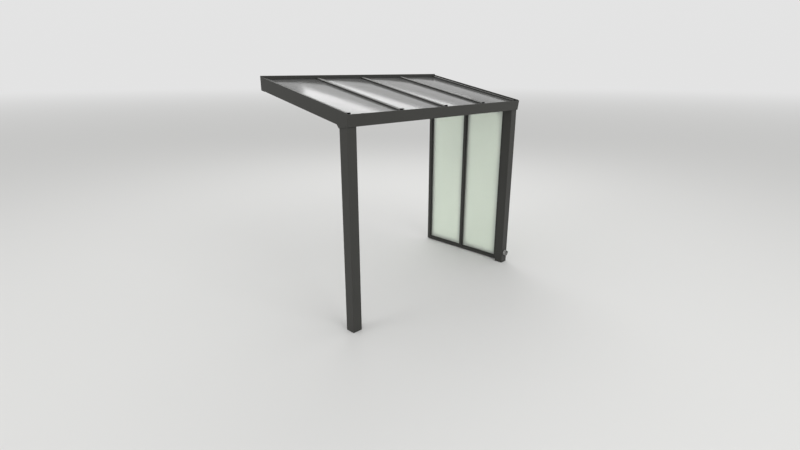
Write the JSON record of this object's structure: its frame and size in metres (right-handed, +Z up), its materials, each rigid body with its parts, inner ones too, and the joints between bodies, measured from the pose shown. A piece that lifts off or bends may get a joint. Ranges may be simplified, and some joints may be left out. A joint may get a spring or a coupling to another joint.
{
  "type": "lean-to patio roof",
  "caption": "Lean-to glass patio roof: posts and gutter in front, wall profile behind, rafters with glass between, and a glazed side wall.",
  "frame": {"origin": "on the wall profile's flat back face, at mid-width and at the profile's mid-height", "axes": "+X to the right along the wall as seen from the garden, towards the side wall; +Y into the wall; +Z up"},
  "size_m": [2.91, 1.513, 2.6046],
  "materials": {
    "frame_coating": "fine matt powder coating in anthracite",
    "roof_glass": "grey tinted laminated safety glass",
    "side_glass": "satin etched glass with a green tint",
    "gasket": "black extruded rubber",
    "plug_plastic": "black moulded plastic with a fine grain",
    "pipe_plastic": "light grey drain pipe"
  },
  "bodies": {
    "root": {"left_post": "frame_coating", "right_post": "frame_coating", "drain_pipe": "pipe_plastic", "gutter": "frame_coating", "gutter_end_cap_left": "frame_coating", "gutter_end_cap_right": "frame_coating", "gutter_infill_strips": "frame_coating", "wall_profile": "frame_coating", "wall_profile_cap_left": "frame_coating", "wall_profile_cap_right": "frame_coating", "wall_seal": "gasket", "end_rafter_left": "frame_coating", "rafter_left": "frame_coating", "rafter_middle": "frame_coating", "rafter_right": "frame_coating", "end_rafter_right": "frame_coating", "lower_gaskets": "gasket", "roof_pane_1": "roof_glass", "roof_pane_2": "roof_glass", "roof_pane_3": "roof_glass", "roof_pane_4": "roof_glass", "upper_gaskets": "gasket", "cover_cap_1": "frame_coating", "cover_cap_2": "frame_coating", "cover_cap_3": "frame_coating", "cover_cap_4": "frame_coating", "cover_cap_5": "frame_coating", "end_plug_1": "plug_plastic", "end_plug_2": "plug_plastic", "end_plug_3": "plug_plastic", "end_plug_4": "plug_plastic", "end_plug_5": "plug_plastic", "side_rear_jamb": "frame_coating", "side_front_jamb": "frame_coating", "side_mullion": "frame_coating", "side_bottom_rail": "frame_coating", "side_top_rail": "frame_coating", "side_wall_seal": "gasket", "side_pane_front": "side_glass", "side_pane_rear": "side_glass", "glazing_beads_front": "frame_coating", "glazing_beads_rear": "frame_coating"}
  },
  "joints": []
}
